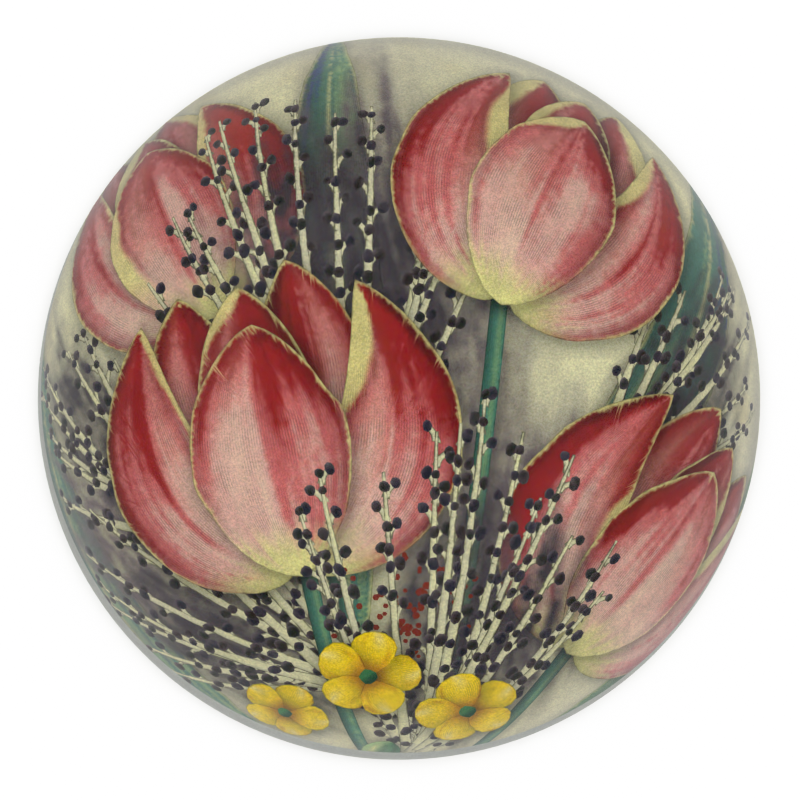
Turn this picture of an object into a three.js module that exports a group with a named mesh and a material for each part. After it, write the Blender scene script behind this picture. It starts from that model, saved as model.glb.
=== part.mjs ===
// A dome paperweight: a solid clear glass dome with a printed paper disc glued to its
// flat underside and a felt disc below the paper.
// Millimetres, +Z up. The origin is at the centre of the felt's underside.
import * as THREE from "three";

// Driving dimensions
const GLASS_RADIUS = 44.5; // 89 mm across
const TOTAL_HEIGHT = 38;
const FELT_THICKNESS = 1.2;
const PAPER_THICKNESS = 0.2;
const UNDERSIDE_CHAMFER = 0.6; // ground bevel round the flat underside
const WALL_HEIGHT = 0.8; // upright band above the bevel
const SHOULDER_RADIUS = 3; // rounding between the band and the dome
const PAPER_INSET = 0.2; // from the edge of the flat underside
const FELT_INSET = 0.4; // from the same edge

// Mesh fineness
const TURN_STEPS = 72;
const SHOULDER_STEPS = 4;
const CAP_STEPS = 20;

// Derived sizes
const FLAT_RADIUS = GLASS_RADIUS - UNDERSIDE_CHAMFER;
const GLASS_BOTTOM = FELT_THICKNESS + PAPER_THICKNESS;
const GLASS_HEIGHT = TOTAL_HEIGHT - GLASS_BOTTOM;

// Turns a profile of [radius, height] points about the Z axis.
function turned(profile) {
  const points = profile.map(([radius, height]) => new THREE.Vector2(radius, height));
  return new THREE.LatheGeometry(points, TURN_STEPS).rotateX(Math.PI / 2);
}

// Points on an arc about [centreRadius, centreHeight], with angles from the horizontal.
function arc(centreRadius, centreHeight, radius, from, to, steps) {
  const points = [];
  for (let i = 0; i <= steps; i++) {
    const angle = from + ((to - from) * i) / steps;
    points.push([
      centreRadius + radius * Math.cos(angle),
      centreHeight + radius * Math.sin(angle),
    ]);
  }
  return points;
}

// The glass from its underside up: bevel, upright band, rounded shoulder and the
// spherical cap, which runs on from the shoulder without a corner.
function domeProfile() {
  const shoulderCentreRadius = GLASS_RADIUS - SHOULDER_RADIUS;
  const shoulderHeight = UNDERSIDE_CHAMFER + WALL_HEIGHT;
  const rise = GLASS_HEIGHT - shoulderHeight;
  const capRadius =
    (shoulderCentreRadius ** 2 + rise ** 2 - SHOULDER_RADIUS ** 2) /
    (2 * (rise - SHOULDER_RADIUS));
  const capCentreHeight = GLASS_HEIGHT - capRadius;
  const joinAngle = Math.atan2(shoulderHeight - capCentreHeight, shoulderCentreRadius);

  const shoulder = arc(
    shoulderCentreRadius, shoulderHeight, SHOULDER_RADIUS, 0, joinAngle, SHOULDER_STEPS,
  );
  const cap = arc(0, capCentreHeight, capRadius, joinAngle, Math.PI / 2, CAP_STEPS);
  const apex = [0, GLASS_HEIGHT];
  return [
    [0, 0],
    [FLAT_RADIUS, 0],
    [GLASS_RADIUS, UNDERSIDE_CHAMFER],
    ...shoulder,
    ...cap.slice(1, -1),
    apex,
  ];
}

// A flat round disc.
function discProfile(radius, thickness) {
  return [
    [0, 0],
    [radius, 0],
    [radius, thickness],
    [0, thickness],
  ];
}

function glassMaterial() {
  return new THREE.MeshStandardMaterial({
    color: 0xeef3f0,
    roughness: 0.02,
    metalness: 0,
    transparent: true,
    opacity: 0.35,
  });
}

function printedPaperMaterial() {
  return new THREE.MeshStandardMaterial({ color: 0xb98a7c, roughness: 0.7, metalness: 0 });
}

function feltMaterial() {
  return new THREE.MeshStandardMaterial({ color: 0x2f4438, roughness: 1, metalness: 0 });
}

function glassDome() {
  const mesh = new THREE.Mesh(turned(domeProfile()), glassMaterial());
  mesh.name = "glass_dome";
  mesh.position.z = GLASS_BOTTOM;
  return mesh;
}

function printDisc() {
  const profile = discProfile(FLAT_RADIUS - PAPER_INSET, PAPER_THICKNESS);
  const mesh = new THREE.Mesh(turned(profile), printedPaperMaterial());
  mesh.name = "print_disc";
  mesh.position.z = FELT_THICKNESS;
  return mesh;
}

function feltBase() {
  const profile = discProfile(FLAT_RADIUS - FELT_INSET, FELT_THICKNESS);
  const mesh = new THREE.Mesh(turned(profile), feltMaterial());
  mesh.name = "felt_base";
  return mesh;
}

const group = new THREE.Group();
group.add(glassDome(), printDisc(), feltBase());

export default group;
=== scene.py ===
# A glass dome paperweight: its visible pieces, their materials, the light and the camera.
# Metres and +Z up, with the origin at the centre of the felt's underside. The print's
# picture is laid out in millimetres on the paper, with +Y towards the picture's top.
import math

import bpy
import numpy as np
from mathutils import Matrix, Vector
from mathutils.geometry import delaunay_2d_cdt


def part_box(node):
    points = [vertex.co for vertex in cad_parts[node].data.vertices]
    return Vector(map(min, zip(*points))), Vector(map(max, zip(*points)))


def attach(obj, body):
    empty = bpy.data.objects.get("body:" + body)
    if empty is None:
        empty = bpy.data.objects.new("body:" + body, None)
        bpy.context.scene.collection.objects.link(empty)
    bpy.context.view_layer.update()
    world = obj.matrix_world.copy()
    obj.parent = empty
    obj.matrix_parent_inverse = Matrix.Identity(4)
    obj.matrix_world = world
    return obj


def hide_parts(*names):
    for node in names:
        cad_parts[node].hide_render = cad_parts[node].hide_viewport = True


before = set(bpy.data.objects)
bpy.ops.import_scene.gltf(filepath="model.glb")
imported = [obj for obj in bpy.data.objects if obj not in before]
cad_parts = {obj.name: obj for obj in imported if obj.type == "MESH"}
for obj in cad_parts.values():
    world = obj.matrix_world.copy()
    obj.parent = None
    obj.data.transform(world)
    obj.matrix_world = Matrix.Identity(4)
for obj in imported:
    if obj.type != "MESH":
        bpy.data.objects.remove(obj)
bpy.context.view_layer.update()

MM = 0.001

# Sizes from the frame
glass_low, glass_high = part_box("glass_dome")
paper_low, paper_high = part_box("print_disc")
felt_low, felt_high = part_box("felt_base")
GLASS_RADIUS = glass_high[0]
GLASS_BOTTOM = glass_low[2]
GLASS_HEIGHT = glass_high[2] - glass_low[2]
PAPER_RADIUS = paper_high[0]
FELT_RADIUS = felt_high[0]

# Sizes that the frame doesn't give, as in the solids
UNDERSIDE_CHAMFER = 0.6 * MM
WALL_HEIGHT = 0.8 * MM
SHOULDER_RADIUS = 3 * MM

# The paper's face lies this far inside the glass, as glued, with no air between them
GLUE_DEPTH = 0.02 * MM

# How finely the turned meshes are cut, round the axis and along each curve of the profile
DOME_STEPS = 320
CAP_STEPS = 220
SHOULDER_STEPS = 14
FELT_STEPS = 720
FELT_EDGE_STEPS = 5

# Edges that bend by more than this, in degrees, are shaded sharp
DOME_SHARP_ANGLE = 25
FELT_SHARP_ANGLE = 40

# The felt's rounded and uneven edge: the share of the radius where it starts, how many lumps
# there are to a radian and how high each is, and in mm how deep the lumps and the finer tufts
# on them go
FELT_EDGE_RADIUS = 0.3 * MM
FELT_EDGE_START = 0.9
FELT_LUMPS = 60
FELT_LUMP_HEIGHT = 0.5 * MM
FELT_LUMP_DEPTH = 0.22
FELT_TUFT_DEPTH = 0.14

# The image's side and the dome's outline in it, in pixels
IMAGE_SIDE = 800
OUTLINE_CENTRE = (399.0, 398.5)
OUTLINE_RADIUS = 361.3

CAMERA_DISTANCE = 1.0
SENSOR_WIDTH = 36


# Meshes

def add_piece(name, mesh, material, node):
    """Adds a piece that rides on the one body, in place of a node of the frame."""
    mesh.materials.append(material)
    piece = bpy.data.objects.new(name, mesh)
    bpy.context.scene.collection.objects.link(piece)
    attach(piece, "root")
    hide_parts(node)


def turned_mesh(name, profile, steps, sharp_angle):
    """A closed solid turned about Z from a profile that starts and ends on the axis."""
    ring = profile[1:-1]
    vertices = [(0, 0, profile[0][1])]
    for radius, height in ring:
        for k in range(steps):
            angle = 2 * math.pi * k / steps
            vertices.append((radius * math.cos(angle), radius * math.sin(angle), height))
    vertices.append((0, 0, profile[-1][1]))
    last_ring = 1 + (len(ring) - 1) * steps
    faces = []
    for k in range(steps):
        after = (k + 1) % steps
        faces.append((0, 1 + after, 1 + k))
        for i in range(len(ring) - 1):
            low = 1 + i * steps
            high = low + steps
            faces.append((low + k, low + after, high + after, high + k))
        faces.append((last_ring + k, last_ring + after, len(vertices) - 1))
    mesh = bpy.data.meshes.new(name)
    mesh.from_pydata(vertices, [], faces)
    mesh.shade_smooth()
    mesh.set_sharp_from_angle(angle=math.radians(sharp_angle))
    return mesh


def arc(centre_radius, centre_height, radius, start, end, steps):
    """Points of a profile along an arc, from one angle to another."""
    angles = [start + (end - start) * i / steps for i in range(steps + 1)]
    return [
        (centre_radius + radius * math.cos(a), centre_height + radius * math.sin(a))
        for a in angles
    ]


def dome_profile():
    """Bevel, upright band, rounded shoulder and spherical cap, as in the solids."""
    inner = GLASS_RADIUS - SHOULDER_RADIUS
    shoulder_height = UNDERSIDE_CHAMFER + WALL_HEIGHT
    rise = GLASS_HEIGHT - shoulder_height
    cap_radius = (inner**2 + rise**2 - SHOULDER_RADIUS**2) / (2 * (rise - SHOULDER_RADIUS))
    cap_centre = GLASS_HEIGHT - cap_radius
    join = math.atan2(shoulder_height - cap_centre, inner)
    flat = GLASS_RADIUS - UNDERSIDE_CHAMFER
    points = [(0, 0), (flat / 2, 0), (flat, 0), (GLASS_RADIUS, UNDERSIDE_CHAMFER)]
    points += arc(inner, shoulder_height, SHOULDER_RADIUS, 0, join, SHOULDER_STEPS)
    points += arc(0, cap_centre, cap_radius, join, math.pi / 2, CAP_STEPS)[1:-1]
    points += [(0, GLASS_HEIGHT)]
    return [(radius, height + GLASS_BOTTOM) for radius, height in points]


# Numbers for the picture

# The random values that all noise is made from, and how far one shift moves it, in cells
LATTICE_SEED = 11
LATTICE_SIDE = 256
LATTICE = np.random.default_rng(LATTICE_SEED).random((LATTICE_SIDE, LATTICE_SIDE))
SHIFT_X = 37.7
SHIFT_Y = 61.3


def noise(x, y, shift=0):
    """Smooth noise from 0 to 1 whose cells are 1 wide."""
    x = x + SHIFT_X * shift
    y = y + SHIFT_Y * shift
    column = np.floor(x).astype(int)
    row = np.floor(y).astype(int)
    fx = x - column
    fy = y - row
    fx = fx * fx * (3 - 2 * fx)
    fy = fy * fy * (3 - 2 * fy)

    def at(i, j):
        return LATTICE[i % LATTICE_SIDE, j % LATTICE_SIDE]

    low = at(column, row) * (1 - fx) + at(column + 1, row) * fx
    high = at(column, row + 1) * (1 - fx) + at(column + 1, row + 1) * fx
    return low * (1 - fy) + high * fy


def cloud(x, y, shift=0):
    """Noise of three sizes together, from 0 to 1."""
    broad = noise(x, y, shift)
    middle = noise(2 * x, 2 * y, shift + 1)
    fine = noise(4 * x, 4 * y, shift + 2)
    return (4 * broad + 2 * middle + fine) / 7


def ramp(low, high, value):
    """0 at low, 1 at high and smooth between them. low may be the larger."""
    f = np.clip((value - low) / (high - low), 0, 1)
    return f * f * (3 - 2 * f)


def bump(centre, width, value):
    """1 at the centre, falling off smoothly to both sides."""
    return np.exp(-(((value - centre) / width) ** 2))


def mixed(first, second, share):
    """The first colours with a share of the second mixed in."""
    return first + (second - first) * np.clip(share, 0, 1)[:, None]


def darker(colour, share):
    """Colours with a share of their light taken away."""
    return colour * (1 - np.clip(share, 0, 1))[:, None]


# Scales the brightness of every paint
PAINT_GAIN = 0.86


def paint(red, green, blue):
    """The linear colour of a paint, from a colour given in 0 to 255."""
    seen = np.array([red, green, blue]) / 255
    linear = np.where(seen <= 0.04045, seen / 12.92, ((seen + 0.055) / 1.055) ** 2.4)
    return linear * PAINT_GAIN


CREAM = paint(226, 222, 186)
GREIGE = paint(212, 208, 182)
STAIN = paint(206, 196, 152)
WASH = paint(128, 118, 120)
WASH_DEEP = paint(84, 78, 84)
CRIMSON = paint(170, 46, 48)
DEEP_CRIMSON = paint(124, 34, 34)
BRICK = paint(178, 70, 52)
ROSE = paint(208, 124, 122)
BLUSH = paint(220, 182, 170)
PALE_PINK = paint(226, 200, 180)
RIM_YELLOW = paint(222, 217, 156)
LEAF_DARK = paint(26, 84, 60)
LEAF_GREEN = paint(70, 132, 86)
LEAF_TEAL = paint(92, 142, 126)
LEAF_PALE = paint(170, 196, 140)
STROKE_BLUE = paint(60, 75, 142)
STALK = paint(218, 215, 176)
BERRY_BROWN = paint(48, 40, 38)
BERRY_BLUE = paint(40, 40, 56)
BERRY_GREEN = paint(40, 44, 36)
BERRY_LIGHT = paint(126, 116, 122)
INK = paint(74, 66, 64)
YELLOW = paint(236, 212, 44)
OCHRE = paint(198, 142, 32)
SPECK = paint(140, 58, 40)
MARGIN = paint(197, 201, 194)

# Painted light on the paper: its brightness at the centre, and what is added to it out to the rim
CENTRE_PAINTED_LIGHT = 0.90
OUTER_PAINTED_LIGHT = 0.26

# A painted shade along the rim, standing in for the weaker light there: the share of light that it
# takes, and the radii in mm between which it sets in
RIM_PAINTED_SHADE = 0.33
RIM_PAINTED_SHADE_REACH = (37.8, 42.3)

# The printed picture is a circle a little off the paper's centre, in mm, which leaves a
# crescent of bare paper at the lower left
PICTURE_RADIUS = 42.8
PICTURE_CENTRE = (1.2, 2.6)

# A form shorter than this, in mm, has fewer points along each side
SHORT_FORM = 4
FEWEST_POINTS_SHORT = 5
FEWEST_POINTS_LONG = 9

# A form narrower than this, in mm, isn't tested for hiding others
SMALLEST_COVER = 4.0

# Who owns a triangle: a form's number, the ground or the bare margin
GROUND = -1
BARE = -2


# Painted forms: each has an outline, its own coordinates and its paint

class Form:
    """One painted form. veins is the width in mm that its engraved lines are spaced over,
    ink the strength of those lines and of its drawn edge, and drop how dark a shade it throws
    on what lies under it."""

    def __init__(self, outline, place, colour, ink=0.0, veins=0.0, drop=0.0):
        area = np.cross(outline, np.roll(outline, -1, 0)).sum()
        self.outline = outline if area > 0 else outline[::-1]
        self.place = place
        self.colour = colour
        self.ink = ink
        self.veins = veins
        self.drop = drop


class Wash:
    """A thin wash over all that is painted before it."""

    def __init__(self, x0, y0, along, across, heading, colour, strength, seed):
        self.x0, self.y0 = x0, y0
        self.along, self.across = along, across
        self.turn = math.radians(heading)
        self.colour, self.strength, self.seed = colour, strength, seed

    def share(self, x, y):
        dx, dy = x - self.x0, y - self.y0
        u = (dx * math.cos(self.turn) + dy * math.sin(self.turn)) / self.along
        v = (dy * math.cos(self.turn) - dx * math.sin(self.turn)) / self.across
        fibres = noise(u * 3, v * 9, self.seed)
        grains = cloud(x / 1.3, y / 1.3, self.seed)
        strokes = noise(u * self.along / 2.6, v * self.across / 0.55, self.seed + 2)
        far = np.hypot(u, v) + 0.5 * (fibres - 0.5)
        uneven = 0.20 + 0.8 * grains + 0.5 * strokes
        return self.strength * ramp(1.05, 0.35, far) * uneven


def curve(points, steps):
    """Places, left-hand normals and length of a Bezier curve through control points."""
    s = np.linspace(0, 1, steps)
    rows = [np.tile(np.array(p, float), (steps, 1)) for p in points]
    while len(rows) > 1:
        rows = [a + (b - a) * s[:, None] for a, b in zip(rows[:-1], rows[1:])]
    place = rows[0]
    along = np.gradient(place, axis=0)
    along /= np.linalg.norm(along, axis=1)[:, None]
    normal = np.stack([-along[:, 1], along[:, 0]], 1)
    length = np.linalg.norm(np.diff(place, axis=0), axis=1).sum()
    return s, place, normal, length


def blade(points, half_width, colour, wave=0.0, seed=0, steps=48, spacing=0.55, **looks):
    """A form along a curved centre line, half_width(s) wide to each side, s from 0 to 1."""
    s, place, normal, length = curve(points, steps)
    width = half_width(s)
    fewest = FEWEST_POINTS_SHORT if length < SHORT_FORM else FEWEST_POINTS_LONG
    count = max(fewest, int(length / spacing))
    u = (1 - np.cos(np.pi * np.linspace(0, 1, count))) / 2
    sides = []
    for side in (1, -1):
        ripple = 1 + wave * (noise(u * length / 2.5, np.full_like(u, side * 3.5 + seed)) - 0.5)
        reach = np.interp(u, s, width) * ripple
        middle = np.stack([np.interp(u, s, place[:, i]) for i in (0, 1)], 1)
        outward = np.stack([np.interp(u, s, normal[:, i]) for i in (0, 1)], 1)
        sides.append(middle + side * outward * reach[:, None])
    outline = np.concatenate([sides[1], sides[0][-2:0:-1]])

    def own_place(x, y):
        point = np.stack([x, y], 1)
        gap = ((point[:, None, :] - place[None, :, :]) ** 2).sum(2)
        nearest = gap.argmin(1)
        offset = point - place[nearest]
        tangent = np.stack([normal[nearest, 1], -normal[nearest, 0]], 1)
        along = np.clip(s[nearest] + (offset * tangent).sum(1) / length, 0, 1)
        across = (offset * normal[nearest]).sum(1)
        reach = np.maximum(np.interp(along, s, width), 0.05)
        return along, np.clip(across / reach, -1.3, 1.3), along * length

    return Form(outline, own_place, colour, **looks)


def blob(x0, y0, radius, colour, stretch=1.0, heading=0.0, seed=0, corners=10, **looks):
    """A slightly uneven round form."""
    angle = np.linspace(0, 2 * np.pi, corners, endpoint=False)
    uneven = np.random.default_rng(seed).uniform(0.88, 1.12, corners)
    c, d = math.cos(math.radians(heading)), math.sin(math.radians(heading))
    px = radius * uneven * np.cos(angle) * stretch
    py = radius * uneven * np.sin(angle)
    outline = np.stack([x0 + c * px - d * py, y0 + d * px + c * py], 1)

    def own_place(x, y):
        dx, dy = x - x0, y - y0
        return dx / radius, dy / radius, dx

    return Form(outline, own_place, colour, **looks)


def leafy(widest, peak, foot, tip):
    """Half width along a petal or leaf: blunt or sharp at each end, widest at peak."""
    def half_width(s):
        rising = np.sin(np.pi / 2 * np.clip(s / peak, 0, 1)) ** foot
        falling = np.cos(np.pi / 2 * np.clip((s - peak) / (1 - peak), 0, 1)) ** tip
        return widest * rising * falling + 0.02
    return half_width


def stalk_width(start, end):
    """Half width along a stalk, changing evenly from foot to tip."""
    return lambda s: start + (end - start) * s


def set_at(points, x0, y0, heading, scale=1.0, mirror=1):
    """Points drawn upright at the origin, moved to (x0, y0) and turned to the heading."""
    angle = math.radians(heading - 90)
    c, d = math.cos(angle) * scale, math.sin(angle) * scale
    return [(x0 + c * x * mirror - d * y, y0 + d * x * mirror + c * y) for x, y in points]


# Paints: each gives the colours at places x, y in mm, where s runs along the form, t across
# it and edge is the distance to its outline. shaded is 1 or -1, for the side that is darker.

def petal_paint(shaded, flame, seed, behind=False):
    """Yellow-cream foot and rim, and pale pink, rose and crimson towards the tip and edges.
    flame is how far the red reaches."""
    def colour(x, y, s, t, edge):
        broad = noise(s * 2.6, t * 3, seed)
        streak = noise(s * 4, t * 15, seed + 3)
        grain = cloud(x * 1.6, y * 1.6, seed)
        red = 0.86 * s + flame + 0.24 * t**2 + 0.14 * t * shaded
        red = red + 0.50 * (broad - 0.5) + 0.24 * (streak - 0.5) + 0.20 * (grain - 0.5)
        midrib = bump(0, 0.08, t) * ramp(0.02, 0.3, s) * ramp(1.0, 0.6, s)
        red = red + 0.22 * midrib
        out = np.broadcast_to(PALE_PINK, (len(s), 3))
        out = mixed(out, BLUSH, ramp(0.10, 0.34, red))
        out = mixed(out, ROSE, ramp(0.32, 0.64, red))
        out = mixed(out, CRIMSON, ramp(0.64, 0.86, red))
        brick = ramp(0.55, 0.85, noise(s * 3, t * 3, seed + 6)) * ramp(0.7, 0.95, red)
        out = mixed(out, BRICK, 0.6 * brick)
        out = mixed(out, DEEP_CRIMSON, 0.85 * ramp(0.98, 1.35, red))
        foot = ramp(0.24, 0.05, s + 0.12 * (streak - 0.5))
        out = mixed(out, RIM_YELLOW, foot)
        light = bump(-0.42 * shaded, 0.26, t) * bump(0.5, 0.34, s)
        out = mixed(out, PALE_PINK, 0.55 * light * (0.4 + 0.6 * streak))
        out = darker(out, 0.26 * ramp(0.45, 1.05, t * shaded))
        if behind:
            out = darker(out, 0.24 * ramp(0.9, 0.35, s) + 0.04)
        uneven = noise(s * 3.1, np.sign(t) * 4.0, seed + 8)
        ragged = edge + 0.25 * (noise(s * 19, np.sign(t) * 3.0, seed + 9) - 0.5)
        reach = 0.26 + 2.0 * ramp(0.30, 0.85, uneven) * ramp(0.4, -0.4, t * shaded)
        rim = ramp(1.1, 0.70, ragged / reach) * ramp(0.12, 0.4, s)
        out = mixed(out, RIM_YELLOW, rim * (0.70 + 0.25 * uneven))
        under = bump(reach + 0.35, 0.35, edge) * ramp(0.15, 0.4, s)
        return darker(out, 0.20 * under)

    return colour


def leaf_paint(shaded, hue, seed):
    """Green with pale veins, midrib and edge, and on the darker side some blue touches."""
    def colour(x, y, s, t, edge):
        streak = noise(s * 3, t * 9, seed)
        out = np.broadcast_to(hue, (len(s), 3))
        out = mixed(out, LEAF_PALE, 0.75 * ramp(0.40, 0.85, streak) * ramp(0.5, -0.4, t * shaded))
        out = mixed(out, LEAF_DARK, ramp(-0.1, 0.9, t * shaded) * (0.35 + 0.55 * streak))
        touches = ramp(0.62, 0.80, noise(s * 4, t * 12, seed + 5)) * ramp(0.1, 0.6, t * shaded)
        out = mixed(out, STROKE_BLUE, 0.8 * touches)
        out = mixed(out, RIM_YELLOW, 0.8 * bump(0, 0.06, t) * ramp(1, 0.8, s))
        out = mixed(out, RIM_YELLOW, 0.7 * ramp(0.45, 0.2, edge))
        return darker(out, 0.2 * cloud(x, y, seed))

    return colour


def stem_paint(x, y, s, t, edge):
    """Teal, round and lit from one side, with a pale band."""
    out = np.broadcast_to(LEAF_TEAL, (len(s), 3))
    out = mixed(out, LEAF_PALE, 0.5 * bump(-0.35, 0.3, t))
    return darker(out, 0.38 * ramp(0.1, 1.0, t) + 0.16 * cloud(x, y, 3))


def twig_paint(seed):
    """Pale and slightly blotchy, darker along one side."""
    def colour(x, y, s, t, edge):
        out = mixed(np.broadcast_to(STALK, (len(s), 3)), GREIGE, noise(s * 9, t, seed))
        return darker(out, 0.25 * ramp(0.2, 1.0, t))

    return colour


def line_paint(hue):
    """One even colour."""
    return lambda x, y, s, t, edge: np.broadcast_to(hue, (len(s), 3))


def berry_paint(hue, seed):
    """A dark dab of watercolour, thinner on the lit side and at its edge."""
    def colour(x, y, s, t, edge):
        lit = 0.34 * ramp(0.1, 1.3, t - s) + 0.30 * ramp(0.14, 0.0, edge)
        lit = lit + 0.30 * ramp(0.45, 0.85, noise(x * 2.2, y * 2.2, seed))
        return mixed(np.broadcast_to(hue, (len(s), 3)), BERRY_LIGHT, lit)

    return colour


def primrose_paint(seed):
    """Yellow, with an ochre foot and streaks and one pale light."""
    def colour(x, y, s, t, edge):
        streak = noise(s * 3, t * 7, seed)
        out = np.broadcast_to(YELLOW, (len(s), 3))
        out = mixed(out, OCHRE, 0.9 * ramp(0.55, 0.10, s))
        out = mixed(out, OCHRE, 0.8 * ramp(0.50, 0.95, streak) * ramp(0.2, 0.9, np.abs(t)))
        return mixed(out, CREAM, 0.5 * bump(-0.25, 0.25, t) * ramp(0.5, 0.9, s))

    return colour


def button_paint(x, y, s, t, edge):
    """The green middle of a primrose, darker to one side."""
    out = np.broadcast_to(LEAF_GREEN, (len(s), 3))
    return mixed(out, LEAF_DARK, ramp(-0.6, 0.8, s - t))


def capsule_paint(x, y, s, t, edge):
    """Striped green seed capsule, round and lit from one side."""
    stripe = 0.5 + 0.5 * np.cos(t * 9)
    out = np.broadcast_to(LEAF_GREEN, (len(s), 3))
    out = mixed(out, LEAF_PALE, ramp(0.5, -0.8, t))
    out = mixed(out, LEAF_DARK, 0.8 * stripe * ramp(-0.8, 0.6, t))
    return mixed(out, RIM_YELLOW, 0.8 * bump(-0.45, 0.16, t) * bump(0.45, 0.25, s))


def ground_paint(x, y):
    """Cream ground, clouded with grey and touched with yellow stain."""
    out = np.broadcast_to(CREAM, (len(x), 3))
    out = mixed(out, GREIGE, ramp(0.3, 0.8, cloud(x / 15, y / 15, 1)))
    return mixed(out, STAIN, 0.45 * ramp(0.58, 0.85, cloud(x / 6, y / 6, 4)))


# Motifs

# Each petal of a tulip in side view, drawn one unit tall: centre line, half width, where it
# is widest, how blunt its tip is, its shaded side, how far its red reaches, whether it is behind
TULIP_PETALS = (
    (((0.00, 0.02), (-0.22, 0.50), (-0.20, 1.02)), 0.20, 0.60, 0.75, 1, 0.16, True),
    (((0.00, 0.02), (0.26, 0.48), (0.20, 1.05)), 0.20, 0.60, 0.75, -1, 0.18, True),
    (((0.00, 0.02), (-0.02, 0.50), (0.02, 1.00)), 0.20, 0.62, 0.75, 1, 0.14, True),
    (((-0.02, 0.00), (-0.60, 0.20), (-0.36, 0.96)), 0.215, 0.52, 0.80, -1, 0.06, False),
    (((0.02, 0.00), (0.62, 0.18), (0.42, 0.92)), 0.215, 0.52, 0.80, 1, 0.08, False),
    (((0.00, -0.02), (-0.03, 0.42), (0.04, 0.86)), 0.285, 0.50, 0.70, 1, 0.00, False),
)

# Sizes of a sprig, in mm: where its first twig starts, the gap between twigs, the tip without
# any, a twig's reach at the foot and what is lost of it by the tip, the same for a berry's
# radius on a twig and on the stalk, and how far past its twig the stalk's berry sits
FIRST_TWIG = (1.5, 3.5)
TWIG_GAP = (1.8, 2.7)
PLAIN_TIP = 0.8
TWIG_REACH = 2.7
TWIG_REACH_LOST = 1.1
TWIG_BERRY_RADIUS = 0.64
STALK_BERRY_RADIUS = 0.58
BERRY_RADIUS_LOST = 0.14
STALK_BERRY_PAST = 1.2

# How far a twig leans forward for each unit that it goes sideways, the share of twigs with a
# berry on the stalk beside them, and the number of places where a twig may start
TWIG_LEAN = (1.2, 2.2)
STALK_BERRY_SHARE = 0.6
SPRIG_PLACES = 60

STEM_HALF_WIDTH = 0.8


def tulip(x0, y0, heading, length, spread, seed, mirror=1):
    """A tulip with its foot at (x0, y0) and its petals opened out by spread. mirror is -1 for
    one that is drawn the other way round."""
    forms = []
    for i, (points, widest, peak, tip, shaded, flame, behind) in enumerate(TULIP_PETALS):
        spaced = [(x * spread, y) for x, y in points]
        forms.append(blade(
            set_at(spaced, x0, y0, heading, length, mirror),
            leafy(widest * length * (0.7 + 0.3 * spread), peak, 0.62, tip),
            petal_paint(-shaded * mirror, flame, seed + i, behind),
            wave=0.09, seed=seed + i, ink=0.75, veins=widest * length * 2, drop=0.42,
        ))
    return forms


def sprig(x0, y0, heading, length, bend, seed, side):
    """A pale stalk with short side twigs that end in dark berries, and some berries of its
    own. side is 1 or -1, for the side of the first twig."""
    draw = np.random.default_rng(seed)
    points = set_at([(0, 0), (bend, 0.55), (bend * 0.3, 1)], x0, y0, heading, length)
    _, place, normal, _ = curve(points, SPRIG_PLACES)
    last = SPRIG_PLACES - 1

    # A thin dark line beside the stalk is its shade
    line = [(x + 0.44, y - 0.14) for x, y in points[:-1]] + [points[-1]]
    forms = [blade(line, stalk_width(0.24, 0.03), line_paint(INK), steps=40, spacing=1.5,
                   wave=1.4, seed=seed)]

    berries = []
    position = draw.uniform(*FIRST_TWIG)
    while position < length - PLAIN_TIP:
        where = position / length
        i = min(int(where * last), last)
        across = normal[i] * side
        forward = np.array([normal[i][1], -normal[i][0]])
        reach = (TWIG_REACH - TWIG_REACH_LOST * where) * draw.uniform(0.75, 1.15)
        lean = draw.uniform(*TWIG_LEAN)
        tip = place[i] + reach * (across + forward * lean) / math.hypot(1, lean)
        elbow = place[i] + reach * 0.5 * forward
        forms.append(blade([place[i], elbow, tip], stalk_width(0.42, 0.24), twig_paint(seed),
                           steps=12, spacing=0.7, ink=1.0))
        berries.append((tip, TWIG_BERRY_RADIUS - BERRY_RADIUS_LOST * where))
        if draw.random() < STALK_BERRY_SHARE:
            past = place[i] + forward * STALK_BERRY_PAST
            berries.append((past, STALK_BERRY_RADIUS - BERRY_RADIUS_LOST * where))
        side = -side
        position += draw.uniform(*TWIG_GAP)
    forms.append(blade(points, stalk_width(0.66, 0.16), twig_paint(seed),
                       steps=40, spacing=0.9, wave=0.5, seed=seed, ink=1.0))
    hues = (BERRY_BROWN, BERRY_BLUE, BERRY_GREEN)
    for k, (middle, radius) in enumerate(berries):
        forms.append(blob(
            middle[0], middle[1], radius * draw.uniform(0.85, 1.1),
            berry_paint(hues[(seed + k) % 3], seed), stretch=draw.uniform(1.0, 1.4),
            heading=heading + draw.uniform(-20, 20), seed=seed * 50 + k, corners=8,
        ))
    return forms


def spray(x0, y0, first, last, count, length, seed):
    """A fan of sprigs from near one place, the longest in the middle."""
    draw = np.random.default_rng(seed)
    forms = []
    for k in range(count):
        share = (k + 0.5) / count
        heading = first + (last - first) * share + draw.uniform(-2.5, 2.5)
        reach = length * (1 - 0.35 * abs(2 * share - 1)) * draw.uniform(0.88, 1.05)
        start = (x0 + draw.uniform(-1.5, 1.5), y0 + draw.uniform(-1.5, 1.5))
        bend = 0.10 * (0.5 - share) * math.copysign(1, last - first) + draw.uniform(-0.04, 0.04)
        forms += sprig(*start, heading, reach, bend, seed + k, 1 if k % 2 else -1)
    return forms


def primrose(x0, y0, radius, heading, seed):
    """Five petals round a green middle, seen from the front."""
    forms = []
    for k in range(5):
        turn = heading + 72 * k
        points = set_at([(0, 0.05), (0.06, 0.5), (0, 1)], x0, y0, turn, radius)
        forms.append(blade(points, leafy(radius * 0.44, 0.66, 0.8, 0.45), primrose_paint(seed + k),
                           wave=0.16, seed=seed + k, steps=24, ink=0.7, veins=radius, drop=0.35))
    forms.append(blob(x0, y0, radius * 0.17, button_paint, seed=seed, drop=0.2))
    return forms


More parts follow.
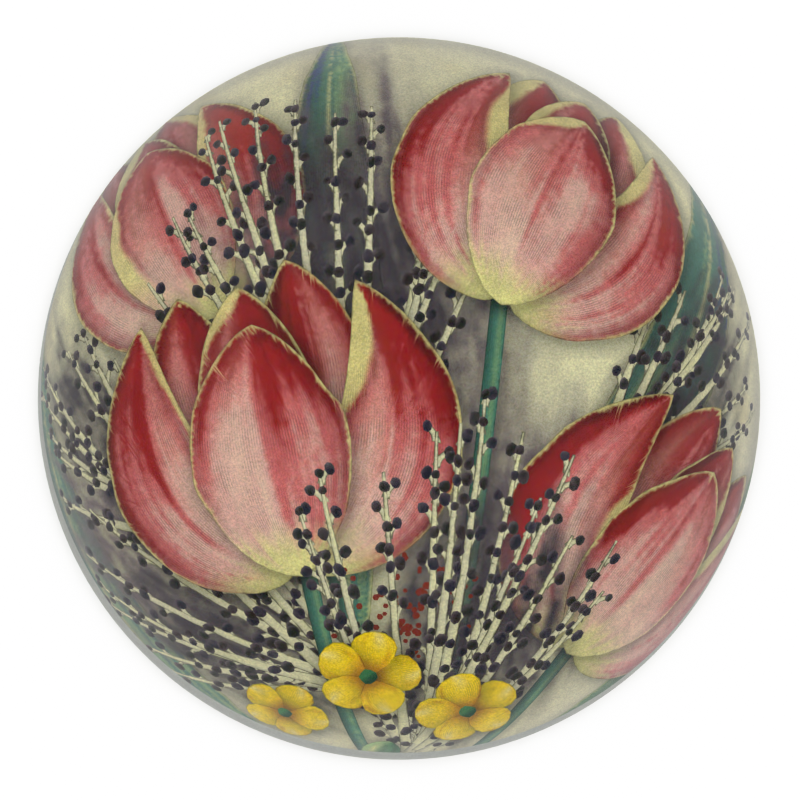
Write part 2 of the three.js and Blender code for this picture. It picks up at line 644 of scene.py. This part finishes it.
def capsule(x0, y0, heading, length, seed):
    """A round green seed capsule."""
    points = set_at([(0, 0), (0.03, 0.5), (0, 1)], x0, y0, heading, length)
    return [blade(points, leafy(length * 0.36, 0.45, 0.55, 0.5), capsule_paint, seed=seed,
                  steps=24, ink=0.7, drop=0.4)]


def leaf(points, widest, shaded, hue, seed, peak=0.45):
    """A long leaf, widest at the share peak of its length."""
    return [blade(points, leafy(widest, peak, 0.9, 1.0), leaf_paint(shaded, hue, seed),
                  wave=0.12, seed=seed, ink=0.7, veins=widest * 2, drop=0.35)]


def stem(points):
    """A flower's stem, of one width throughout."""
    return [blade(points, stalk_width(STEM_HALF_WIDTH, STEM_HALF_WIDTH), stem_paint,
                  ink=0.6, veins=2.0, drop=0.3)]


def specks(x0, y0, spread, count, seed):
    """Small red-brown dots scattered about one place."""
    draw = np.random.default_rng(seed)
    forms = []
    for k in range(count):
        dx, dy = draw.normal(0, spread, 2)
        forms.append(blob(x0 + dx, y0 + dy, draw.uniform(0.22, 0.40), line_paint(SPECK),
                          seed=seed + k, corners=6))
    return forms


def composition():
    """The picture from back to front: a posy of tulips, berried sprigs and primroses."""
    layers = []
    layers += leaf([(-6, -48), (-38, -30), (-42, 8)], 5.6, 1, LEAF_TEAL, 1)
    layers += leaf([(6, -48), (38, -36), (44, -4)], 6.0, -1, LEAF_GREEN, 2)
    layers += leaf([(-4, -30), (-6, 12), (-8, 48)], 4.4, 1, LEAF_TEAL, 3, 0.5)
    layers += leaf([(4, -20), (34, 0), (38, 34)], 4.8, -1, LEAF_TEAL, 4, 0.5)
    layers.append(Wash(-1, 12, 28, 15, 96, WASH, 1.0, 3))
    layers.append(Wash(-24, -16, 20, 14, 150, WASH, 1.0, 5))
    layers.append(Wash(9, -16, 20, 12, 84, WASH, 1.0, 8))
    layers.append(Wash(29, 2, 15, 9, 50, WASH_DEEP, 0.95, 23))
    layers += spray(18, -10, 70, 16, 9, 31, 210)
    layers.append(Wash(-31, -2, 14, 8, 128, WASH_DEEP, 0.95, 29))
    layers += spray(-19, -13, 176, 112, 8, 29, 240)
    layers += tulip(-17, 8, 122, 26, 0.8, 60)
    layers.append(Wash(-6, 12, 20, 13, 104, WASH_DEEP, 1.05, 13))
    layers += spray(-4, -10, 132, 62, 13, 45, 100)
    layers += stem([(4, -33.8), (6.9, -12), (9.5, 12)])
    layers += tulip(9.5, 9, 66, 26, 0.9, 20)
    layers.append(Wash(-14, -25, 18, 10, 152, WASH_DEEP, 1.05, 17))
    layers += spray(-5, -27, 190, 122, 10, 35, 140)
    layers += stem([(-2, -48), (-6, -30), (-9, -13)])
    layers += tulip(-9, -16, 104, 27, 1.0, 30)
    layers += stem([(6, -48), (10, -36), (17.5, -24)])
    layers += tulip(17, -25, 46, 27, 0.95, 40, -1)
    layers.append(Wash(7, -24, 19, 11, 78, WASH_DEEP, 1.05, 19))
    layers += specks(1, -19, 3.2, 70, 300)
    layers += spray(2, -39, 114, 48, 13, 42, 170)
    layers += primrose(-3, -27, 5.2, 10, 50)
    layers += primrose(7, -32, 5.4, 40, 70)
    layers += primrose(-12, -33, 4.8, 65, 80)
    layers += capsule(-1, -37, 250, 6, 90)
    return layers


# The paper

# The points that its face is cut from: the gap in a row in mm, the gap between rows and how
# far a point strays as shares of that, and the strip along the rim without points in mm
GRID_SEED = 3
GRID_GAP = 0.315
ROW_SHARE = 0.866
STRAY_SHARE = 0.2
BARE_STRIP = 0.25

# Past this radius in mm, where the glass squeezes the picture, this share of them is left out
THIN_RADIUS = 34
THIN_SHARE = 0.45

# Points round the rim, and as many round the picture's edge
CIRCLE_POINTS = 300

# Points closer together than this, in mm, are joined into one. Every triangle between the
# points is kept at first.
MERGE_DISTANCE = 1e-5
ALL_TRIANGLES = 0

# The shade that a form throws, in mm: its shift, how far from the form it is worked out, and
# how softly a strong and a faint one end. A drop below FAINT_DROP is faint.
SHADE_SHIFT = (0.28, -0.34)
SHADE_MARGIN = 1.2
STRONG_SOFTNESS = 0.75
FAINT_SOFTNESS = 0.30
FAINT_DROP = 0.3

# How strongly the bare paper is clouded, and the noise that it is clouded with
MARGIN_CLOUDS = 0.12
MARGIN_SHIFT = 9

# What stands for the distance to a form's outline, in mm, where there is no form
NO_OUTLINE = 9.0

# The place of the wall and underside in the map: the middle and the radius of a small disc
PLAIN_MAP_MIDDLE = 0.06
PLAIN_MAP_RADIUS = 0.05


def paper_grid(radius):
    """Slightly uneven points over the disc, fewer of them towards its rim."""
    draw = np.random.default_rng(GRID_SEED)
    rows = int(radius / (GRID_GAP * ROW_SHARE)) + 1
    points = []
    for j in range(-rows, rows + 1):
        xs = np.arange(-radius, radius, GRID_GAP) + (GRID_GAP / 2) * (j % 2)
        points.append(np.stack([xs, np.full_like(xs, j * GRID_GAP * ROW_SHARE)], 1))
    points = np.concatenate(points)
    points += draw.uniform(-STRAY_SHARE, STRAY_SHARE, points.shape) * GRID_GAP
    far = np.hypot(points[:, 0], points[:, 1])
    kept = far < radius - BARE_STRIP
    thinned = (far > THIN_RADIUS) & (draw.random(len(points)) < THIN_SHARE)
    return points[kept & ~thinned]


def inside(outline, x, y):
    """Which points a closed outline winds round."""
    turns = np.zeros(len(x), int)
    for (x1, y1), (x2, y2) in zip(outline, np.roll(outline, -1, 0)):
        side = (x2 - x1) * (y - y1) - (x - x1) * (y2 - y1)
        turns += (y1 <= y) & (y2 > y) & (side > 0)
        turns -= (y1 > y) & (y2 <= y) & (side < 0)
    return turns != 0


def edge_distance(outline, x, y):
    """How far points lie from a closed outline."""
    best = np.full(len(x), 1e9)
    for (x1, y1), (x2, y2) in zip(outline, np.roll(outline, -1, 0)):
        dx, dy = x2 - x1, y2 - y1
        share = np.clip(((x - x1) * dx + (y - y1) * dy) / max(dx * dx + dy * dy, 1e-12), 0, 1)
        best = np.minimum(best, (x - x1 - share * dx) ** 2 + (y - y1 - share * dy) ** 2)
    return np.sqrt(best)


def cut_disc(forms, radius):
    """Triangles of the disc, cut along every outline, and the topmost form over each."""
    angle = np.linspace(0, 2 * np.pi, CIRCLE_POINTS, endpoint=False)
    circle = np.stack([np.cos(angle), np.sin(angle)], 1)
    rim = circle * radius
    picture = circle * PICTURE_RADIUS + PICTURE_CENTRE
    loops = [rim, picture] + [form.outline for form in forms]
    starts = np.cumsum([0] + [len(loop) for loop in loops])
    edges = []
    for i, loop in enumerate(loops):
        ring = np.arange(starts[i], starts[i + 1])
        edges += np.stack([ring, np.roll(ring, -1)], 1).tolist()
    points = np.concatenate(loops + [paper_grid(radius)])
    places, _, faces, _, _, _ = delaunay_2d_cdt(
        [Vector(point) for point in points], edges, [], ALL_TRIANGLES, MERGE_DISTANCE, False,
    )

    # Only the triangles inside the rim stay, with their corners anticlockwise
    flat = np.array([tuple(place) for place in places])
    triangles = np.array(faces)
    cx, cy = flat[triangles].mean(1).T
    kept = inside(rim, cx, cy)
    triangles, cx, cy = triangles[kept], cx[kept], cy[kept]
    a, b, c = (flat[triangles[:, i]] for i in range(3))
    turn = (b[:, 0] - a[:, 0]) * (c[:, 1] - a[:, 1]) - (b[:, 1] - a[:, 1]) * (c[:, 0] - a[:, 0])
    triangles[turn < 0] = triangles[turn < 0][:, ::-1]

    # Later forms lie over earlier ones
    owner = np.full(len(triangles), GROUND)
    for k, form in enumerate(forms):
        low, high = form.outline.min(0), form.outline.max(0)
        near = np.nonzero((cx > low[0]) & (cx < high[0]) & (cy > low[1]) & (cy < high[1]))[0]
        owner[near[inside(form.outline, cx[near], cy[near])]] = k
    owner[~inside(picture, cx, cy)] = BARE

    # Points that no triangle uses any more are left out
    used = np.unique(triangles)
    renumbered = np.full(len(flat), -1)
    renumbered[used] = np.arange(len(used))
    return flat[used], renumbered[triangles], owner


def painted(flat, triangles, owner, layers):
    """Colour, drawing coordinates and ink strength at each corner of each triangle. The
    coordinates are how far along the form it is, how far across, and how far from its edge."""
    forms = [layer for layer in layers if isinstance(layer, Form)]
    corner = flat[triangles.ravel()]
    x, y = corner.T
    corner_owner = np.repeat(owner, 3)
    tint = ground_paint(x, y)
    bare = corner_owner == BARE
    clouds = MARGIN_CLOUDS * cloud(x[bare], y[bare], MARGIN_SHIFT)
    tint[bare] = darker(np.broadcast_to(MARGIN, (bare.sum(), 3)), clouds)
    strokes = np.tile([0.0, 0.0, NO_OUTLINE], (len(corner), 1))
    ink = np.zeros(len(corner))

    # Each form's own paint
    for k, form in enumerate(forms):
        mine = np.nonzero(corner_owner == k)[0]
        if not len(mine):
            continue
        s, t, along = form.place(x[mine], y[mine])
        edge = edge_distance(form.outline, x[mine], y[mine])
        tint[mine] = form.colour(x[mine], y[mine], s, t, edge)
        strokes[mine] = np.stack([along, t * form.veins, edge], 1)
        ink[mine] = form.ink

    # Washes and shades darken what is painted before them, and number counts those forms
    number = 0
    for layer in layers:
        if isinstance(layer, Wash):
            under = (corner_owner < number) & ~bare
            tint[under] = mixed(tint[under], layer.colour, layer.share(x[under], y[under]))
            continue
        if layer.drop:
            shade = layer.outline + SHADE_SHIFT
            low, high = shade.min(0) - SHADE_MARGIN, shade.max(0) + SHADE_MARGIN
            near = (x > low[0]) & (x < high[0]) & (y > low[1]) & (y < high[1])
            under = np.nonzero(near & (corner_owner < number) & ~bare)[0]
            gap = edge_distance(shade, x[under], y[under])
            gap[inside(shade, x[under], y[under])] = 0
            softness = FAINT_SOFTNESS if layer.drop < FAINT_DROP else STRONG_SOFTNESS
            tint[under] = darker(tint[under], layer.drop * np.exp(-gap / softness))
        number += 1

    # Painted light makes the paper a little brighter away from its centre, and a painted shade
    # makes it darker along its rim
    radius = np.hypot(x, y)
    painted_light = CENTRE_PAINTED_LIGHT + OUTER_PAINTED_LIGHT * (radius / radius.max()) ** 2
    painted_rim_shade = 1 - RIM_PAINTED_SHADE * ramp(*RIM_PAINTED_SHADE_REACH, radius)
    tint *= (painted_light * painted_rim_shade)[:, None]
    return tint, strokes, ink


def without_hidden(layers):
    """The layers without the forms that lie wholly under one later, larger form."""
    kept = []
    covers = []
    for layer in reversed(layers):
        if isinstance(layer, Form):
            x, y = layer.outline.T
            if any(
                (x.min() > low[0]) and (x.max() < high[0]) and (y.min() > low[1])
                and (y.max() < high[1]) and inside(outline, x, y).all()
                for outline, low, high in covers
            ):
                continue
            low, high = layer.outline.min(0), layer.outline.max(0)
            if (high - low).min() > SMALLEST_COVER:
                covers.append((layer.outline, low, high))
        kept.append(layer)
    return kept[::-1]


def fill_corners(mesh, name, kind, field, values):
    """Stores a value for each corner of the mesh's faces."""
    attribute = mesh.attributes.new(name, kind, "CORNER")
    attribute.data.foreach_set(field, values.ravel())


def print_mesh(name, radius, bottom, top):
    """A closed paper disc whose face carries the painted forms. The radius is in mm."""
    layers = without_hidden(composition())
    forms = [layer for layer in layers if isinstance(layer, Form)]
    flat, triangles, owner = cut_disc(forms, radius)
    tint, strokes, ink = painted(flat, triangles, owner, layers)

    # The rim is the triangle sides that are used once, and the wall goes down from it
    sides = np.concatenate([triangles[:, [0, 1]], triangles[:, [1, 2]], triangles[:, [2, 0]]])
    sides, uses = np.unique(np.sort(sides, 1), axis=0, return_counts=True)
    rim = np.unique(sides[uses == 1])
    rim = rim[np.argsort(np.arctan2(flat[rim, 1], flat[rim, 0]))]
    count = len(flat)
    low_ring = count + np.arange(len(rim))
    centre = count + len(rim)
    after = np.roll(low_ring, -1)
    vertices = np.concatenate([
        np.column_stack([flat * MM, np.full(count, top)]),
        np.column_stack([flat[rim] * MM, np.full(len(rim), bottom)]),
        [[0, 0, bottom]],
    ])
    walls = np.stack([rim, low_ring, after, np.roll(rim, -1)], 1)
    underside = np.stack([after, low_ring, np.full(len(rim), centre)], 1)
    faces = triangles.tolist() + walls.tolist() + underside.tolist()
    mesh = bpy.data.meshes.new(name)
    mesh.from_pydata(vertices.tolist(), [], faces)

    # The wall and underside are plain paper, and their corners come after the face's
    corners = len(mesh.loops)
    plain = corners - len(tint)
    tint = np.concatenate([tint, np.tile(CREAM, (plain, 1))])
    strokes = np.concatenate([strokes, np.tile([0, 0, NO_OUTLINE], (plain, 1))])
    ink = np.concatenate([ink, np.zeros(plain)])
    fill_corners(mesh, "tint", "FLOAT_COLOR", "color", np.column_stack([tint, np.ones(corners)]))
    fill_corners(mesh, "strokes", "FLOAT_VECTOR", "vector", strokes)
    fill_corners(mesh, "ink", "FLOAT", "value", ink)

    # The face fills the map, and the wall and underside lie in a free corner of it
    uv = mesh.uv_layers.new(name="OFBake")
    where = np.concatenate([flat, flat[rim], [[0, 0]]]) / radius
    corner_vertex = np.zeros(corners, int)
    mesh.loops.foreach_get("vertex_index", corner_vertex)
    layout = 0.5 + 0.5 * where[corner_vertex]
    layout[corners - plain:] = PLAIN_MAP_MIDDLE + PLAIN_MAP_RADIUS * where[corner_vertex[-plain:]]
    uv.data.foreach_set("uv", layout.ravel())
    return mesh


def felt_mesh(name, radius, bottom, top):
    """A felt disc with soft, slightly uneven edges."""
    soft = FELT_EDGE_RADIUS
    profile = [(0, bottom), (radius / 2, bottom)]
    profile += arc(radius - soft, bottom + soft, soft, -math.pi / 2, 0, FELT_EDGE_STEPS)
    profile += arc(radius - soft, top - soft, soft, 0, math.pi / 2, FELT_EDGE_STEPS)
    profile += [(radius / 2, top), (0, top)]
    mesh = turned_mesh(name, profile, FELT_STEPS, FELT_SHARP_ANGLE)
    for vertex in mesh.vertices:
        far = math.hypot(vertex.co.x, vertex.co.y)
        if far < FELT_EDGE_START * radius:
            continue
        around = math.atan2(vertex.co.y, vertex.co.x) * FELT_LUMPS
        level = vertex.co.z / FELT_LUMP_HEIGHT
        lump = noise(np.array([around]), np.array([level]), 2)[0] * FELT_LUMP_DEPTH * MM
        tuft = noise(np.array([around * 4]), np.array([level * 2]), 5)[0] * FELT_TUFT_DEPTH * MM
        vertex.co.x *= 1 - (lump + tuft) / far
        vertex.co.y *= 1 - (lump + tuft) / far
    return mesh


# Materials

# The colour that long paths of light through the glass lean to, and how strongly to the metre
GLASS_TINT = (0.90, 0.97, 0.94, 1)
GLASS_DENSITY = 4
GLASS_IOR = 1.5

# The greens of the felt's fibres and the greys of the floor
FELT_DARK = (0.012, 0.040, 0.024)
FELT_LIGHT = (0.070, 0.130, 0.088)
FLOOR_DARK = (0.885, 0.885, 0.885)
FLOOR_LIGHT = (0.905, 0.905, 0.905)


class Nodes:
    """A new material and short ways to add nodes to it."""

    def __init__(self, name):
        self.material = bpy.data.materials.new(name)
        self.material.use_nodes = True
        self.tree = self.material.node_tree
        self.shader = self.tree.nodes["Principled BSDF"]
        self.output = self.tree.nodes["Material Output"]
        self.place = self.tree.nodes.new("ShaderNodeTexCoord").outputs["Object"]

    def add(self, kind, inputs=(), **settings):
        made = self.tree.nodes.new(kind)
        for key, value in settings.items():
            setattr(made, key, value)
        for key, value in dict(inputs).items():
            if isinstance(value, bpy.types.NodeSocket):
                self.tree.links.new(value, made.inputs[key])
            else:
                made.inputs[key].default_value = value
        return made

    def attribute(self, name, output):
        return self.add("ShaderNodeAttribute", attribute_name=name).outputs[output]

    def grain(self, size, detail=2.0):
        """Noise whose spots are about size metres wide: its Fac and Color outputs."""
        return self.add("ShaderNodeTexNoise", {
            "Vector": self.place, "Scale": 1 / size, "Detail": detail}).outputs

    def math(self, operation, first, second):
        return self.add("ShaderNodeMath", {0: first, 1: second}, operation=operation).outputs[0]

    def vector(self, operation, inputs):
        return self.add("ShaderNodeVectorMath", inputs, operation=operation).outputs[0]

    def between(self, value, low, high, low_out=0.0, high_out=1.0):
        return self.add("ShaderNodeMapRange", {
            "Value": value, "From Min": low, "From Max": high,
            "To Min": low_out, "To Max": high_out}).outputs[0]

    def mix(self, share, first, second):
        made = self.add("ShaderNodeMix", data_type="RGBA")
        self.tree.links.new(share, made.inputs["Factor"])
        for socket, colour in ((made.inputs[6], first), (made.inputs[7], second)):
            socket.default_value = (*colour, 1)
        return made.outputs[2]

    def bumped(self, height, strength, distance):
        return self.add("ShaderNodeBump", {
            "Height": height, "Strength": strength, "Distance": distance}).outputs[0]

    def shade(self, **values):
        for name, value in values.items():
            socket = self.shader.inputs[name.replace("_", " ")]
            if isinstance(value, bpy.types.NodeSocket):
                self.tree.links.new(value, socket)
            else:
                socket.default_value = value
        return self.material


def glass_material():
    """Clear polished glass that turns very faintly green where the light's path is long."""
    nodes = Nodes("clear_glass")
    depth = nodes.add("ShaderNodeVolumeAbsorption", {
        "Color": GLASS_TINT, "Density": GLASS_DENSITY})
    nodes.tree.links.new(depth.outputs[0], nodes.output.inputs["Volume"])
    return nodes.shade(
        Base_Color=(1, 1, 1, 1), Roughness=0.0, IOR=GLASS_IOR, Transmission_Weight=1.0,
    )


def print_material():
    """Paint from the mesh, engraved lines and drawn edges over it, and the print's grain."""
    nodes = Nodes("printed_paper")
    tint = nodes.attribute("tint", "Color")
    ink = nodes.attribute("ink", "Fac")
    strokes = nodes.attribute("strokes", "Vector")
    edge = nodes.add("ShaderNodeSeparateXYZ", {0: strokes}).outputs["Z"]

    # Engraved lines run along each form, closer together towards its ends
    lines = nodes.add("ShaderNodeTexWave", {
        "Vector": strokes, "Scale": 0.62, "Distortion": 1.4, "Detail": 2, "Detail Scale": 0.35,
    }, bands_direction="Y").outputs["Fac"]
    broken = nodes.between(nodes.grain(2.2 * MM)["Fac"], 0.38, 0.64, 0.0, 0.5)
    engraved = nodes.math("MULTIPLY", nodes.between(lines, 0.55, 0.90), broken)

    # The drawn edge of each form, of uneven strength
    uneven = nodes.between(nodes.grain(0.9 * MM)["Fac"], 0.3, 0.7, -0.05, 0.07)
    drawn = nodes.between(nodes.math("ADD", edge, uneven), 0.035, 0.13, 0.85, 0.0)
    inked = nodes.math("MULTIPLY", nodes.math("MAXIMUM", engraved, drawn), ink)

    # Washes settle unevenly, and the print itself is grainy in brightness and in colour
    settled = nodes.between(nodes.grain(0.9 * MM, 3)["Fac"], 0.3, 0.7, 0.96, 1.04)
    fine = nodes.between(nodes.grain(0.17 * MM, 3)["Fac"], 0.3, 0.7, 0.84, 1.16)
    light = nodes.math("MULTIPLY", settled, fine)
    light = nodes.math("MULTIPLY", light, nodes.between(inked, 0.0, 1.0, 1.0, 0.22))
    lit = nodes.vector("SCALE", {0: tint, "Scale": light})
    mottle = nodes.vector("MULTIPLY_ADD", {
        0: nodes.grain(0.22 * MM)["Color"], 1: (0.06, 0.06, 0.08), 2: (-0.03, -0.03, -0.04)})
    total = nodes.vector("ADD", {0: lit, 1: mottle})
    colour = nodes.vector("MAXIMUM", {0: total, 1: (0.004, 0.004, 0.004)})
    return nodes.shade(Base_Color=colour, Roughness=0.8, Specular_IOR_Level=0.0)


def felt_material():
    """Dark green wool felt: matted fibres of slightly different greens."""
    nodes = Nodes("felt")
    fibres = nodes.grain(0.18 * MM, 4)["Fac"]
    clumps = nodes.grain(1.1 * MM, 3)["Fac"]
    mixed_fibres = nodes.math("ADD", nodes.math("MULTIPLY", fibres, 0.65),
                              nodes.math("MULTIPLY", clumps, 0.35))
    share = nodes.between(mixed_fibres, 0.38, 0.62)
    colour = nodes.mix(share, FELT_DARK, FELT_LIGHT)
    return nodes.shade(
        Base_Color=colour, Roughness=0.95, Sheen_Weight=0.35, Sheen_Roughness=0.5,
        Specular_IOR_Level=0.2, Normal=nodes.bumped(mixed_fibres, 0.8, 0.15 * MM),
    )


def floor_material():
    """Nearly white and very slightly uneven."""
    nodes = Nodes("floor")
    colour = nodes.mix(nodes.grain(40 * MM)["Fac"], FLOOR_DARK, FLOOR_LIGHT)
    return nodes.shade(Base_Color=colour, Roughness=0.7)


# The pieces

dome_mesh = turned_mesh("dome_glass", dome_profile(), DOME_STEPS, DOME_SHARP_ANGLE)
add_piece("dome_glass", dome_mesh, glass_material(), "glass_dome")

paper_mesh = print_mesh("print_paper", PAPER_RADIUS / MM, paper_low[2], paper_high[2] + GLUE_DEPTH)
add_piece("print_paper", paper_mesh, print_material(), "print_disc")

disc_mesh = felt_mesh("felt_disc", FELT_RADIUS, felt_low[2], felt_high[2])
add_piece("felt_disc", disc_mesh, felt_material(), "felt_base")


# Floor, light and camera

# Half of the floor's side, in metres
FLOOR_HALF = 3


def add_floor():
    """A wide square that the felt rests on."""
    half = FLOOR_HALF
    corners = [(-half, -half, 0), (half, -half, 0), (half, half, 0), (-half, half, 0)]
    mesh = bpy.data.meshes.new("floor")
    mesh.from_pydata(corners, [], [(0, 1, 2, 3)])
    mesh.materials.append(floor_material())
    floor = bpy.data.objects.new("floor", mesh)
    bpy.context.scene.collection.objects.link(floor)


# The sky's brightness by the sine of the elevation, from the horizon to straight above
SKY = ((0.0, 0.97), (0.12, 1.04), (0.50, 1.42), (1.0, 1.12))


def studio_light():
    """Soft light from all sides, brightest at mid height, that meets the floor at the horizon."""
    world = bpy.data.worlds.new("studio")
    bpy.context.scene.world = world
    world.use_nodes = True
    tree = world.node_tree
    background = tree.nodes["Background"]
    direction = tree.nodes.new("ShaderNodeTexCoord")
    parts = tree.nodes.new("ShaderNodeSeparateXYZ")
    fade = tree.nodes.new("ShaderNodeValToRGB")
    tree.links.new(direction.outputs["Generated"], parts.inputs[0])
    tree.links.new(parts.outputs["Z"], fade.inputs["Fac"])
    tree.links.new(fade.outputs["Color"], background.inputs["Color"])
    brightest = max(level for _, level in SKY)
    stops = fade.color_ramp.elements
    for place, _ in SKY[1:-1]:
        stops.new(place)
    for stop, (place, level) in zip(stops, SKY):
        stop.position = place
        stop.color = (level / brightest, level / brightest, level / brightest, 1)
    background.inputs["Strength"].default_value = brightest


# The level that becomes black, and points of the curve that the picture's tones follow
BLACK_LEVEL = 0.032
TONE_POINTS = ((0.10, 0.065), (0.35, 0.33), (0.85, 0.965))


def tone():
    """The black point takes out the faint reflection that lies evenly over the glass."""
    view = bpy.context.scene.view_settings
    view.view_transform = "Standard"
    view.use_curve_mapping = True
    mapping = view.curve_mapping
    mapping.black_level = (BLACK_LEVEL, BLACK_LEVEL, BLACK_LEVEL)
    for place in TONE_POINTS:
        mapping.curves[3].points.new(*place)
    mapping.update()


def add_camera():
    """Straight above, so that the dome's outline has its place and size in the image."""
    metres_per_pixel = GLASS_RADIUS / OUTLINE_RADIUS
    data = bpy.data.cameras.new("camera")
    data.sensor_width = SENSOR_WIDTH
    data.lens = SENSOR_WIDTH * CAMERA_DISTANCE / (IMAGE_SIDE * metres_per_pixel)
    data.clip_start = 0.01
    camera = bpy.data.objects.new("camera", data)
    aside = IMAGE_SIDE / 2 - OUTLINE_CENTRE[0]
    above = OUTLINE_CENTRE[1] - IMAGE_SIDE / 2
    widest = GLASS_BOTTOM + UNDERSIDE_CHAMFER + WALL_HEIGHT
    camera.location = (
        aside * metres_per_pixel, above * metres_per_pixel, CAMERA_DISTANCE + widest,
    )
    bpy.context.scene.collection.objects.link(camera)
    bpy.context.scene.camera = camera


add_floor()
studio_light()
tone()
add_camera()
